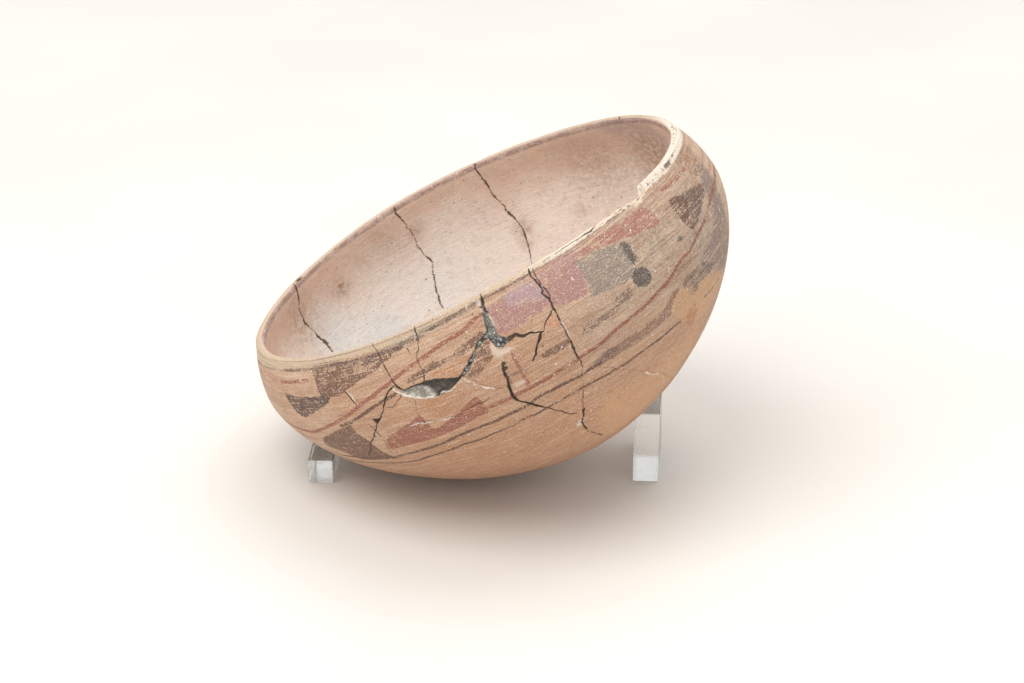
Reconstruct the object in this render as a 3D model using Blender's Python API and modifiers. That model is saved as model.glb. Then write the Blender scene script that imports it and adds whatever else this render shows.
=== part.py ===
"""Ancient painted pottery bowl, tilted on two clear acrylic supports.

The bowl is a hand-built round-bottomed vessel with a slightly incurved rim, a little out of round,
mended from sherds with open joints. Units are metres, +Z is up, and -Y faces the viewer. The origin is
at the centre of the bounding box, on the surface that the supports stand on.
"""
import math

import bmesh
import bpy
import numpy as np
from mathutils import Matrix, Vector
from mathutils.bvhtree import BVHTree

# Bowl, as a turned form: radii from its own axis, depths down that axis from the rim
RIM_RADIUS = 0.1169
BELLY_RADIUS = 0.1243
BELLY_DEPTH = 0.0291
BOWL_DEPTH = 0.1248
BOTTOM_POWER = 1.7
WALL = 0.0056
LIP_THICKNESS = 0.0048
LIP_TAPER = 0.020

# Hand-built irregularity: shares of the radius, and heights of the waves of the rim
OVAL = 0.055
OVAL_AT = math.radians(-37.6)
TRIPLE = 0.020
TRIPLE_AT = math.radians(-66.3)
RIM_WAVES = ((2, 0.0022, math.radians(-69.8)), (3, 0.0005, math.radians(35.9)), (4, 0.0006, math.radians(21.7)))

# How the bowl lies
LEAN_LEFT = math.radians(28.2)
LEAN_BACK = math.radians(0.84)
BOWL_LIFT = 0.0021
BOWL_AXIS_X = -0.0101
BOWL_AXIS_Y = 0.0191

# Clear acrylic supports: how far each is in from the belly and in front of the bowl's axis, heights follow
SUPPORT_THICKNESS = 0.0127
SUPPORT_DEPTH = 0.048
LEFT_INSET = 0.0590
LEFT_FORWARD = 0.0232
RIGHT_INSET = 0.0385
RIGHT_FORWARD = 0.0151
RIGHT_TURN = math.radians(-2.6)
SUPPORT_EDGE = 0.0004
CLEARANCE = 0.0003
SEAT_STEP = 0.001

# Open joints between the sherds, each point an azimuth in degrees and a distance below the rim
JOINT_DEPTH = 0.0032
JOINT_STEP = 0.006
OUTER_JOINTS = {
    "rim_joint": (((-81, 0), (-82, 0.008), (-83, 0.016), (-82.5, 0.026)), 0.0009, 0.0024),
    "branch_joint": (((-83.2, 0.0178), (-88, 0.022), (-92, 0.028), (-94.6, 0.0304)), 0.0010, 0.0012),
    "lower_joint": (((-84, 0.031), (-85, 0.047), (-84.5, 0.056), (-75.5, 0.083)), 0.0011, 0.0018),
    "right_joint": (((-69.5, 0), (-69.5, 0.017), (-70, 0.056), (-75, 0.093), (-75, 0.105)), 0.0010, 0.0018),
    "right_branch": (((-69.8, 0.0222), (-79, 0.040)), 0.0010, 0.0016),
    "left_joint": (((-112, 0), (-110, 0.015), (-107.8, 0.0260)), 0.0010, 0.0012),
    "left_branch": (((-108.8, 0.0235), (-118, 0.035), (-124, 0.044), (-137, 0.062)), 0.0012, 0.0010),
    "far_left_joint": (((-132, 0), (-129, 0.0065), (-125.5, 0.019), (-123, 0.028)), 0.0010, 0.0012),
}
INNER_JOINTS = {
    "back_joint": (((91, 0), (88.5, 0.043), (90, 0.061)), 0.0012, 0.0016),
    "back_left_joint": (((115, 0), (114, 0.032), (118, 0.059)), 0.0012, 0.0016),
    "end_joint": (((153.5, 0), (151, 0.030), (151, 0.040)), 0.0012, 0.0010),
}

# Edges of missing pieces: corners on the skin, and how deep each is
CHIP_OVERSHOOT = 0.002
CRESCENT = ((-109, 0.0238), (-105, 0.0236), (-100.3, 0.0262), (-93.4, 0.0300),
            (-96.3, 0.0326), (-99.5, 0.0340), (-103.5, 0.0325), (-107, 0.0292))
CRESCENT_DEPTH = 0.0040
SMALL_CHIP = ((-82.7, 0.0205), (-80.2, 0.0236), (-81.2, 0.0257), (-82.6, 0.0275))
SMALL_CHIP_DEPTH = 0.0028
CORNER_CHIP = ((-121.4, 0.0352), (-118.6, 0.0361), (-120.8, 0.0394))
CORNER_CHIP_DEPTH = 0.0022

# Broken stretch of the lip: deepest at its right end, running out towards its left end
LIP_BREAK_RIGHT = -36.5
LIP_BREAK_LEFT = -60.0
LIP_BREAK_DEPTH = 0.0052
LIP_BREAK_STATIONS = 9

# Resolution
TURN_STEPS = 84
LIP_STEPS = 4
SHOULDER_STEPS = 4
BODY_STEPS = 14
SHARP_ANGLE = math.radians(35)

CLAY_COLOUR = (0.46, 0.26, 0.15, 1.0)
CLAY_ROUGHNESS = 0.85
ACRYLIC_COLOUR = (0.93, 0.96, 0.94, 1.0)
ACRYLIC_ROUGHNESS = 0.06
ACRYLIC_IOR = 1.49


def clear_scene():
    for old in list(bpy.data.objects):
        bpy.data.objects.remove(old, do_unlink=True)


def make_collection(name):
    collection = bpy.data.collections.new(name)
    bpy.context.scene.collection.children.link(collection)
    return collection


def clay():
    material = bpy.data.materials.new("painted_clay")
    material.use_nodes = True
    shader = material.node_tree.nodes["Principled BSDF"]
    shader.inputs["Base Color"].default_value = CLAY_COLOUR
    shader.inputs["Roughness"].default_value = CLAY_ROUGHNESS
    shader.inputs["Metallic"].default_value = 0.0
    return material


def acrylic():
    material = bpy.data.materials.new("clear_acrylic")
    material.use_nodes = True
    shader = material.node_tree.nodes["Principled BSDF"]
    shader.inputs["Base Color"].default_value = ACRYLIC_COLOUR
    shader.inputs["Roughness"].default_value = ACRYLIC_ROUGHNESS
    shader.inputs["Metallic"].default_value = 0.0
    shader.inputs["Transmission Weight"].default_value = 1.0
    shader.inputs["IOR"].default_value = ACRYLIC_IOR
    return material


def outer_profile():
    """Radius and depth of the outer skin, from the top of the lip down to the pole."""
    half = LIP_THICKNESS / 2
    lip = np.linspace(0, math.pi / 2, LIP_STEPS, endpoint=False)
    shoulder = np.linspace(0, 1, SHOULDER_STEPS, endpoint=False)
    body = np.linspace(0, math.pi / 2, BODY_STEPS)
    radius = np.concatenate([
        RIM_RADIUS - half + half * np.sin(lip),
        BELLY_RADIUS - (BELLY_RADIUS - RIM_RADIUS) * (1 - shoulder) ** 2,
        BELLY_RADIUS * np.cos(body).clip(0) ** (2 / BOTTOM_POWER),
    ])
    depth = np.concatenate([
        half - half * np.cos(lip),
        half + (BELLY_DEPTH - half) * shoulder,
        BELLY_DEPTH + (BOWL_DEPTH - BELLY_DEPTH) * np.sin(body) ** (2 / BOTTOM_POWER),
    ])
    radius[-1] = 0.0
    return radius, depth


def inner_profile():
    """Radius and depth of the inner skin, one wall inside the outer one, from the pole up to the lip."""
    radius, depth = outer_profile()
    along = np.stack([np.gradient(radius), np.gradient(depth)], axis=1)
    along /= np.linalg.norm(along, axis=1)[:, None]
    wall = LIP_THICKNESS + (WALL - LIP_THICKNESS) * np.clip(depth / LIP_TAPER, 0, 1)
    inner_radius = radius - along[:, 1] * wall
    inner_depth = depth + along[:, 0] * wall
    body = slice(LIP_STEPS + 1, None)
    inner_radius, inner_depth = inner_radius[body], inner_depth[body]
    inner_radius[-1] = 0.0
    inner_depth[-1] = BOWL_DEPTH - WALL
    half = LIP_THICKNESS / 2
    lip = np.linspace(0, math.pi / 2, LIP_STEPS, endpoint=False)[1:]
    lip_radius = RIM_RADIUS - half - half * np.sin(lip)
    lip_depth = half - half * np.cos(lip)
    radius = np.concatenate([lip_radius, [RIM_RADIUS - LIP_THICKNESS], inner_radius])
    depth = np.concatenate([lip_depth, [half], inner_depth])
    return radius[::-1], depth[::-1]


def out_of_true(radius, depth, azimuth):
    """Place of a turned point once the oval, the third lobe and the waves of the rim are added."""
    lobes = OVAL * math.cos(2 * (azimuth - OVAL_AT)) + TRIPLE * math.cos(3 * (azimuth - TRIPLE_AT))
    wave = sum(height * math.cos(count * (azimuth - at)) for count, height, at in RIM_WAVES)
    fade = max(0.0, 1 - depth / BOWL_DEPTH)
    reach = radius * (1 + lobes)
    return Vector((reach * math.cos(azimuth), reach * math.sin(azimuth), fade * wave - depth))


class Skin:
    """The outer or inner surface, addressed by azimuth in degrees and distance below the rim."""

    def __init__(self, radius, depth):
        self.radius = radius
        self.depth = depth
        self.run = np.concatenate([[0], np.cumsum(np.hypot(np.diff(radius), np.diff(depth)))])

    def point(self, degrees, drop):
        radius = float(np.interp(drop, self.run, self.radius))
        depth = float(np.interp(drop, self.run, self.depth))
        return out_of_true(radius, depth, math.radians(degrees))

    def normal(self, degrees, drop):
        step = 0.002
        down = self.point(degrees, drop + step) - self.point(degrees, max(drop - step, 0))
        round_ = self.point(degrees + 1, drop) - self.point(degrees - 1, drop)
        return down.cross(round_).normalized()


def mesh_object(name, mesh, collection, material=None):
    obj = bpy.data.objects.new(name, mesh)
    collection.objects.link(obj)
    if material:
        mesh.materials.append(material)
    return obj


def turned_blank(collection):
    """The closed turned shell, as the profile swept by a Screw modifier."""
    inner_radius, inner_depth = inner_profile()
    outer_radius, outer_depth = outer_profile()
    radius = np.concatenate([inner_radius, outer_radius])
    depth = np.concatenate([inner_depth, outer_depth])
    points = [(float(r), 0.0, -float(d)) for r, d in zip(radius, depth)]
    mesh = bpy.data.meshes.new("bowl_profile")
    mesh.from_pydata(points, [(i, i + 1) for i in range(len(points) - 1)], [])
    profile = mesh_object("bowl_profile", mesh, collection)
    screw = profile.modifiers.new("turn", "SCREW")
    screw.axis = "Z"
    screw.angle = math.tau
    screw.steps = TURN_STEPS
    screw.render_steps = TURN_STEPS
    screw.use_merge_vertices = True
    screw.merge_threshold = 0.00005
    return profile


def shaped_mesh(profile):
    """The turned blank as a mesh, moved out of true."""
    graph = bpy.context.evaluated_depsgraph_get()
    mesh = bpy.data.meshes.new_from_object(profile.evaluated_get(graph))
    shape = bmesh.new()
    shape.from_mesh(mesh)
    for vert in shape.verts:
        radius = math.hypot(vert.co.x, vert.co.y)
        azimuth = math.atan2(vert.co.y, vert.co.x)
        vert.co = out_of_true(radius, -vert.co.z, azimuth)
    bmesh.ops.recalc_face_normals(shape, faces=shape.faces)
    shape.to_mesh(mesh)
    shape.free()
    return mesh


def skin_up(mesh_build, rings):
    """Close a row of matching rings into one body: side faces between them and a cap at each end."""
    rows = [[mesh_build.verts.new(p) for p in ring] for ring in rings]
    count = len(rows[0])
    for first, second in zip(rows, rows[1:]):
        for i in range(count):
            j = (i + 1) % count
            mesh_build.faces.new((first[i], first[j], second[j], second[i]))
    mesh_build.faces.new(list(reversed(rows[0])))
    mesh_build.faces.new(rows[-1])
    bmesh.ops.triangulate(mesh_build, faces=mesh_build.faces)
    bmesh.ops.recalc_face_normals(mesh_build, faces=mesh_build.faces)


def cutter_object(name, rings, seat, collection):
    build = bmesh.new()
    skin_up(build, rings)
    mesh = bpy.data.meshes.new(name)
    build.to_mesh(mesh)
    build.free()
    cutter = mesh_object(name, mesh, collection)
    cutter.parent = seat
    cutter.hide_render = True
    cutter.display_type = "WIRE"
    return cutter


def along_route(route):
    """Points of a route on the skin, at most one step apart."""
    points = []
    for (az_a, drop_a), (az_b, drop_b) in zip(route, route[1:]):
        length = math.hypot(math.radians(az_b - az_a) * BELLY_RADIUS, drop_b - drop_a)
        count = max(1, round(length / JOINT_STEP))
        points += [(az_a + (az_b - az_a) * i / count, drop_a + (drop_b - drop_a) * i / count) for i in range(count)]
    return points + [route[-1]]


def joint_cutter(name, route, width_start, width_end, skin, outward, seat, collection):
    """A narrow wedge that follows a joint between sherds, open at the skin and thinner at its bottom."""
    stations = along_route(route)
    rings = []
    for i, (azimuth, drop) in enumerate(stations):
        before = skin.point(*stations[max(i - 1, 0)])
        after = skin.point(*stations[min(i + 1, len(stations) - 1)])
        normal = skin.normal(azimuth, drop) * outward
        across = (after - before).cross(normal).normalized()
        share = i / (len(stations) - 1)
        half = (width_start + (width_end - width_start) * share) / 2
        centre = skin.point(azimuth, drop)
        top = centre + normal * CHIP_OVERSHOOT
        bottom = centre - normal * JOINT_DEPTH
        rings.append([top - across * half, top + across * half,
                      bottom + across * half * 0.6, bottom - across * half * 0.6])
    return cutter_object(name, rings, seat, collection)


def chip_cutter(name, corners, depth, skin, seat, collection):
    """A prism that takes out a missing piece of the outer skin."""
    above = [skin.point(*corner) + skin.normal(*corner) * CHIP_OVERSHOOT for corner in corners]
    below = [skin.point(*corner) - skin.normal(*corner) * depth for corner in corners]
    return cutter_object(name, [above, below], seat, collection)


def lip_cutter(seat, collection):
    """A curved wedge over the lip, where its top is broken away."""
    margin = 0.004
    inner = RIM_RADIUS - LIP_THICKNESS - margin
    outer = RIM_RADIUS + margin
    rings = []
    for i in range(LIP_BREAK_STATIONS):
        share = i / (LIP_BREAK_STATIONS - 1)
        azimuth = math.radians(LIP_BREAK_RIGHT + (LIP_BREAK_LEFT - LIP_BREAK_RIGHT) * share)
        bottom = LIP_BREAK_DEPTH * (1 - share) ** 1.3 - 0.0002
        top = -margin
        rings.append([out_of_true(inner, top, azimuth), out_of_true(outer, top, azimuth),
                      out_of_true(outer, bottom - 0.0008, azimuth), out_of_true(inner, bottom, azimuth)])
    return cutter_object("lip_break", rings, seat, collection)


def make_bowl(seat, parts, cutters, material):
    profile = turned_blank(cutters)
    bowl = mesh_object("bowl", shaped_mesh(profile), parts, material)
    bpy.data.objects.remove(profile, do_unlink=True)
    bowl.parent = seat
    outer = Skin(*outer_profile())
    inner_radius, inner_depth = inner_profile()
    inner = Skin(inner_radius[::-1], inner_depth[::-1])
    tools = [lip_cutter(seat, cutters)]
    tools += [joint_cutter(name, route, start, end, outer, -1, seat, cutters)
              for name, (route, start, end) in OUTER_JOINTS.items()]
    tools += [joint_cutter(name, route, start, end, inner, 1, seat, cutters)
              for name, (route, start, end) in INNER_JOINTS.items()]
    tools += [chip_cutter("crescent_chip", CRESCENT, CRESCENT_DEPTH, outer, seat, cutters),
              chip_cutter("small_chip", SMALL_CHIP, SMALL_CHIP_DEPTH, outer, seat, cutters),
              chip_cutter("corner_chip", CORNER_CHIP, CORNER_CHIP_DEPTH, outer, seat, cutters)]
    for tool in tools:
        cut = bowl.modifiers.new(tool.name, "BOOLEAN")
        cut.operation = "DIFFERENCE"
        cut.object = tool
    return bowl


def world_points(obj):
    graph = bpy.context.evaluated_depsgraph_get()
    shown = obj.evaluated_get(graph)
    mesh = shown.to_mesh()
    points = [obj.matrix_world @ vert.co for vert in mesh.vertices]
    shown.to_mesh_clear()
    return points


def bowl_surface(bowl):
    """The bowl's whole skin in world space, for finding what lies above a support."""
    points = [bowl.matrix_world @ vert.co for vert in bowl.data.vertices]
    faces = [tuple(face.vertices) for face in bowl.data.polygons]
    return BVHTree.FromPolygons(points, faces)


def seat_height(surface, place):
    """Lowest point of the bowl above a support's footprint, less the clearance."""
    lowest = None
    for i in range(round(SUPPORT_THICKNESS / SEAT_STEP) + 1):
        for j in range(round(SUPPORT_DEPTH / SEAT_STEP) + 1):
            x = -SUPPORT_THICKNESS / 2 + min(i * SEAT_STEP, SUPPORT_THICKNESS)
            y = -SUPPORT_DEPTH / 2 + min(j * SEAT_STEP, SUPPORT_DEPTH)
            start = place @ Vector((x, y, 0))
            hit = surface.ray_cast(start, Vector((0, 0, 1)))[0]
            if hit and (lowest is None or hit.z < lowest):
                lowest = hit.z
    return lowest - CLEARANCE


def make_support(name, side, inset, forward, turn, surface, stand, parts, material):
    """A rectangular acrylic block under one side of the bowl, its top just clear of the clay."""
    centre_x = BOWL_AXIS_X + side * (BELLY_RADIUS - inset + SUPPORT_THICKNESS / 2)
    centre_y = BOWL_AXIS_Y - forward + SUPPORT_DEPTH / 2
    place = Matrix.Translation((centre_x, centre_y, 0)) @ Matrix.Rotation(turn, 4, "Z")
    height = seat_height(surface, place)
    build = bmesh.new()
    bmesh.ops.create_cube(build, size=1.0)
    bmesh.ops.scale(build, vec=(SUPPORT_THICKNESS, SUPPORT_DEPTH, height), verts=build.verts)
    bmesh.ops.translate(build, vec=(0, 0, height / 2), verts=build.verts)
    mesh = bpy.data.meshes.new(name)
    build.to_mesh(mesh)
    build.free()
    support = mesh_object(name, mesh, parts, material)
    support.location = (centre_x, centre_y, 0)
    support.rotation_euler = (0, 0, turn)
    support.parent = stand
    bevel = support.modifiers.new("polished_edges", "BEVEL")
    bevel.width = SUPPORT_EDGE
    bevel.segments = 1
    return support


def shade(obj):
    obj.data.shade_smooth()
    obj.data.set_sharp_from_angle(angle=SHARP_ANGLE)


def centre_on_origin(stand, pieces):
    """Move everything so that the bounding box stands centred on the origin."""
    points = [p for piece in pieces for p in world_points(piece)]
    low = [min(p[axis] for p in points) for axis in range(3)]
    high = [max(p[axis] for p in points) for axis in range(3)]
    stand.location = (-(low[0] + high[0]) / 2, -(low[1] + high[1]) / 2, -low[2])


def main():
    clear_scene()
    parts = make_collection("pottery_bowl")
    cutters = make_collection("cutters")
    stand = bpy.data.objects.new("stand", None)
    parts.objects.link(stand)
    seat = bpy.data.objects.new("bowl_seat", None)
    parts.objects.link(seat)
    seat.parent = stand
    seat.rotation_euler = (-LEAN_BACK, -LEAN_LEFT, 0)
    seat.location = (BOWL_AXIS_X, BOWL_AXIS_Y, 0)

    bowl = make_bowl(seat, parts, cutters, clay())
    bpy.context.view_layer.update()
    seat.location.z = BOWL_LIFT - min((bowl.matrix_world @ vert.co).z for vert in bowl.data.vertices)
    bpy.context.view_layer.update()

    surface = bowl_surface(bowl)
    clear = acrylic()
    left = make_support("left_support", -1, LEFT_INSET, LEFT_FORWARD, 0.0, surface, stand, parts, clear)
    right = make_support("right_support", 1, RIGHT_INSET, RIGHT_FORWARD, RIGHT_TURN, surface, stand, parts, clear)
    for piece in (bowl, left, right):
        shade(piece)
    bpy.context.view_layer.update()
    centre_on_origin(stand, (bowl, left, right))


main()
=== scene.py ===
"""Looks of the painted pottery bowl and its two clear supports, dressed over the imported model.

Lengths are metres unless a name ends in MM. The bowl's skin is addressed by an azimuth in degrees round its
own axis and a run in millimetres from the top of the lip: above 0 down the outside, below 0 down the inside.
"""
import math

import bmesh
import bpy
import numpy as np
from mathutils import Euler, Matrix, Vector
from mathutils.bvhtree import BVHTree
from mathutils.interpolate import poly_3d_calc


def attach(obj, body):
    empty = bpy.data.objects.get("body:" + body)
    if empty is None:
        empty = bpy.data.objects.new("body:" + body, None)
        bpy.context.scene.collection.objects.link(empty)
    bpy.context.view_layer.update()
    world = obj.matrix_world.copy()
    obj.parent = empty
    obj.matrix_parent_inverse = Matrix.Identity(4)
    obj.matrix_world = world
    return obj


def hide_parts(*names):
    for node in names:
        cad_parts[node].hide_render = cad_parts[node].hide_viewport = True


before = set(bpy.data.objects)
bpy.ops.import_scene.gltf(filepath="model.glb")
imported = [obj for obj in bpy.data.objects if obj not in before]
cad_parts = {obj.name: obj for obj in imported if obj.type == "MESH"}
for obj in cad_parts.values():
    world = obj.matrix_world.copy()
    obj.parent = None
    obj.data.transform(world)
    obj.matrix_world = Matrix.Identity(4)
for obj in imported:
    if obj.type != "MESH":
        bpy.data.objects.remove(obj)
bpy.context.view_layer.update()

# Camera
IMAGE_WIDTH = 1024
IMAGE_HEIGHT = 683
FOCAL_PX = 2475.0
SENSOR_WIDTH_MM = 36.0
CAMERA_PLACE = Vector((0.0586, -1.1381, 0.5390))
CAMERA_DOWN = math.radians(22.4)
CAMERA_LEFT = math.radians(2.353)

# A pixel that lies just off a skin is read by looking from it towards the middle of that skin
MM_PER_PIXEL = 0.5
MIDDLE_PX = {"outer": (550, 400), "inner": (450, 260)}
SEARCH_PX = 25

# Form of the bowl, as in the solid, and how it lies
RIM_RADIUS = 0.1169
BELLY_RADIUS = 0.1243
BELLY_DEPTH = 0.0291
BOWL_DEPTH = 0.1248
BOTTOM_POWER = 1.7
WALL = 0.0056
LIP_THICKNESS = 0.0048
LIP_TAPER = 0.020
OVAL = 0.055
OVAL_AT = math.radians(-37.6)
TRIPLE = 0.020
TRIPLE_AT = math.radians(-66.3)
RIM_WAVES = (
    (2, 0.0022, math.radians(-69.8)),
    (3, 0.0005, math.radians(35.9)),
    (4, 0.0006, math.radians(21.7)),
)
SEAT = Vector((-0.011589, 0.001905, 0.12642))
LEAN_LEFT = math.radians(28.2)
LEAN_BACK = math.radians(0.84)

# Broken stretch of the lip
LIP_BREAK_RIGHT = -36.5
LIP_BREAK_LEFT = -60.0
LIP_BREAK_DEPTH = 0.0052

# Stretches of the lip that stand higher and that are worn pale: where each starts and ends, in degrees
LIP_RISE = 0.0028
RISE_STARTS = (-62, -40)
RISE_ENDS = (16, -20)
WORN_STARTS = (-76, -60)
WORN_ENDS = (28, 8)

# Steps along the lip, the shoulder and the body of the profile, before it is made even by run
LIP_STEPS = 60
SHOULDER_STEPS = 200
BODY_STEPS = 1200

# Grid of the fine mesh, in degrees and millimetres
FRONT_FROM = -185.0
FRONT_TO = 5.0
FRONT_STEP = 1.2
BACK_STEP = 2.3
LIP_ROW_MM = 0.8
LIP_ROWS = 4
OUTER_ROW_MM = 2.3
INNER_ROW_MM = 2.8
POLE_GAP_MM = 4.0
FINE_BANDS_MM = (2.4, 1.3, 0.7)
PLAIN_BANDS_MM = (2.4, 1.2, 0.5)
STROKE_BAND_MM = 2.0

# A line that goes round is drawn across gaps between its readings up to this many degrees
BAND_GAP = 55.0


def seat_matrix():
    return Matrix.Translation(SEAT) @ Euler((-LEAN_BACK, -LEAN_LEFT, 0)).to_matrix().to_4x4()


def fine_profile():
    """Radius and depth along the outer skin from the top of the lip, and along the inner skin, by run."""
    half = LIP_THICKNESS / 2
    lip = np.linspace(0, math.pi / 2, LIP_STEPS, endpoint=False)
    shoulder = np.linspace(0, 1, SHOULDER_STEPS, endpoint=False)
    body = np.linspace(0, math.pi / 2, BODY_STEPS)
    radius = np.concatenate([
        RIM_RADIUS - half + half * np.sin(lip),
        BELLY_RADIUS - (BELLY_RADIUS - RIM_RADIUS) * (1 - shoulder) ** 2,
        BELLY_RADIUS * np.cos(body).clip(0) ** (2 / BOTTOM_POWER),
    ])
    depth = np.concatenate([
        half - half * np.cos(lip),
        half + (BELLY_DEPTH - half) * shoulder,
        BELLY_DEPTH + (BOWL_DEPTH - BELLY_DEPTH) * np.sin(body) ** (2 / BOTTOM_POWER),
    ])
    along = np.stack([np.gradient(radius), np.gradient(depth)], axis=1)
    along /= np.linalg.norm(along, axis=1)[:, None]
    wall = LIP_THICKNESS + (WALL - LIP_THICKNESS) * np.clip(depth / LIP_TAPER, 0, 1)
    inner = slice(LIP_STEPS + 2, None)
    inner_radius = (radius - along[:, 1] * wall)[inner]
    inner_depth = (depth + along[:, 0] * wall)[inner]
    inner_radius[-1] = 0.0
    inner_depth[-1] = BOWL_DEPTH - WALL
    inner_radius = np.concatenate([RIM_RADIUS - half - half * np.sin(lip), inner_radius])
    inner_depth = np.concatenate([half - half * np.cos(lip), inner_depth])
    radius[-1] = 0.0
    return by_run(radius, depth), by_run(inner_radius.clip(0), inner_depth)


def by_run(radius, depth):
    run = np.concatenate([[0], np.cumsum(np.hypot(np.diff(radius), np.diff(depth)))])
    return run * 1000, radius, depth


OUTER, INNER = fine_profile()
OUTER_END_MM = OUTER[0][-1]
INNER_END_MM = INNER[0][-1]


def profile_at(run):
    """Radius and depth of the turned form at a signed run."""
    outside = run >= 0
    radius = np.where(outside, np.interp(run, OUTER[0], OUTER[1]), np.interp(-run, INNER[0], INNER[1]))
    depth = np.where(outside, np.interp(run, OUTER[0], OUTER[2]), np.interp(-run, INNER[0], INNER[2]))
    return radius, depth


def form(azimuth, run):
    """Local places of points of the skin, out of true as the solid is."""
    radius, depth = profile_at(run)
    angle = np.radians(azimuth)
    lobes = OVAL * np.cos(2 * (angle - OVAL_AT)) + TRIPLE * np.cos(3 * (angle - TRIPLE_AT))
    wave = sum(height * np.cos(count * (angle - at)) for count, height, at in RIM_WAVES)
    fade = (1 - depth / BOWL_DEPTH).clip(0)
    reach = radius * (1 + lobes)
    turned = wrap(azimuth)
    rise = LIP_RISE * fade ** 3 * smooth(*RISE_STARTS, turned) * smooth(*RISE_ENDS, turned)
    return np.stack([reach * np.cos(angle), reach * np.sin(angle), fade * wave + rise - depth], axis=1)


def to_world(points):
    matrix = np.array(seat_matrix())
    return points @ matrix[:3, :3].T + matrix[:3, 3]


def wrap(degrees):
    return (np.asarray(degrees) + 180.0) % 360.0 - 180.0


def smooth(low, high, value):
    share = np.clip((value - low) / (high - low), 0, 1)
    return share * share * (3 - 2 * share)


def lattice(cells, seed):
    """A repeatable number from 0 to 1 for each whole-numbered cell."""
    mixed = cells[..., 0] * 73856093 ^ cells[..., 1] * 19349663 ^ cells[..., 2] * 83492791 ^ seed * 2654435761
    mixed = (mixed ^ (mixed >> 13)) * 1274126177 & 0xFFFFFFFF
    return ((mixed ^ (mixed >> 16)) & 0xFFFFFF) / float(0xFFFFFF)


def noise(points, size, seed):
    """Smooth noise from -1 to 1 at places in metres, with lumps of the given size."""
    scaled = points / size
    base = np.floor(scaled).astype(np.int64)
    share = scaled - base
    share = share * share * (3 - 2 * share)
    total = np.zeros(len(points))
    for corner in np.ndindex(2, 2, 2):
        weight = np.prod(np.where(corner, share, 1 - share), axis=1)
        total += weight * lattice(base + np.array(corner), seed)
    return total * 2 - 1


def layered(places, *layers):
    """Sum of noises, each given as its height, the size of its lumps in metres and its seed."""
    return sum(height * noise(places, size, seed) for height, size, seed in layers)


# Mesh of the bowl

def grid_axes():
    front = np.arange(FRONT_FROM, FRONT_TO, FRONT_STEP)
    back_count = round((360 - (FRONT_TO - FRONT_FROM)) / BACK_STEP)
    back = FRONT_TO + np.arange(back_count) * (360 - (FRONT_TO - FRONT_FROM)) / back_count
    lip = np.arange(-LIP_ROWS, LIP_ROWS + 1) * LIP_ROW_MM
    outer = np.linspace(lip[-1], OUTER_END_MM - POLE_GAP_MM, round(OUTER_END_MM / OUTER_ROW_MM))[1:]
    inner = np.linspace(lip[0], POLE_GAP_MM - INNER_END_MM, round(INNER_END_MM / INNER_ROW_MM))[1:]
    return np.concatenate([front, back]), np.concatenate([inner[::-1], lip, outer])


def base_grid():
    """Faces over a grid of azimuth and run, closed at both poles, unwarped and with the run stored."""
    azimuths, runs = grid_axes()
    columns = len(azimuths)
    build = bmesh.new()
    stored = build.verts.layers.float.new("run")
    rows = []
    for run in runs:
        radius, depth = profile_at(np.array([run]))
        row = []
        for azimuth in azimuths:
            angle = math.radians(azimuth)
            vert = build.verts.new((radius[0] * math.cos(angle), radius[0] * math.sin(angle), -depth[0]))
            vert[stored] = run
            row.append(vert)
        rows.append(row)
    for first, second in zip(rows, rows[1:]):
        for i in range(columns):
            j = (i + 1) % columns
            build.faces.new((first[i], second[i], second[j], first[j]))
    for row, run, depth, turned in ((rows[0], -INNER_END_MM, BOWL_DEPTH - WALL, False),
                                    (rows[-1], OUTER_END_MM, BOWL_DEPTH, True)):
        pole = build.verts.new((0, 0, -depth))
        pole[stored] = run
        for i in range(columns):
            j = (i + 1) % columns
            build.faces.new((row[j], row[i], pole) if turned else (row[i], row[j], pole))
    return build, stored


def chart_of(build, stored):
    """Azimuth in degrees and run of every vertex of the unwarped bmesh."""
    places = np.array([vert.co for vert in build.verts])
    run = np.array([vert[stored] for vert in build.verts])
    return np.degrees(np.arctan2(places[:, 1], places[:, 0])), run


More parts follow.
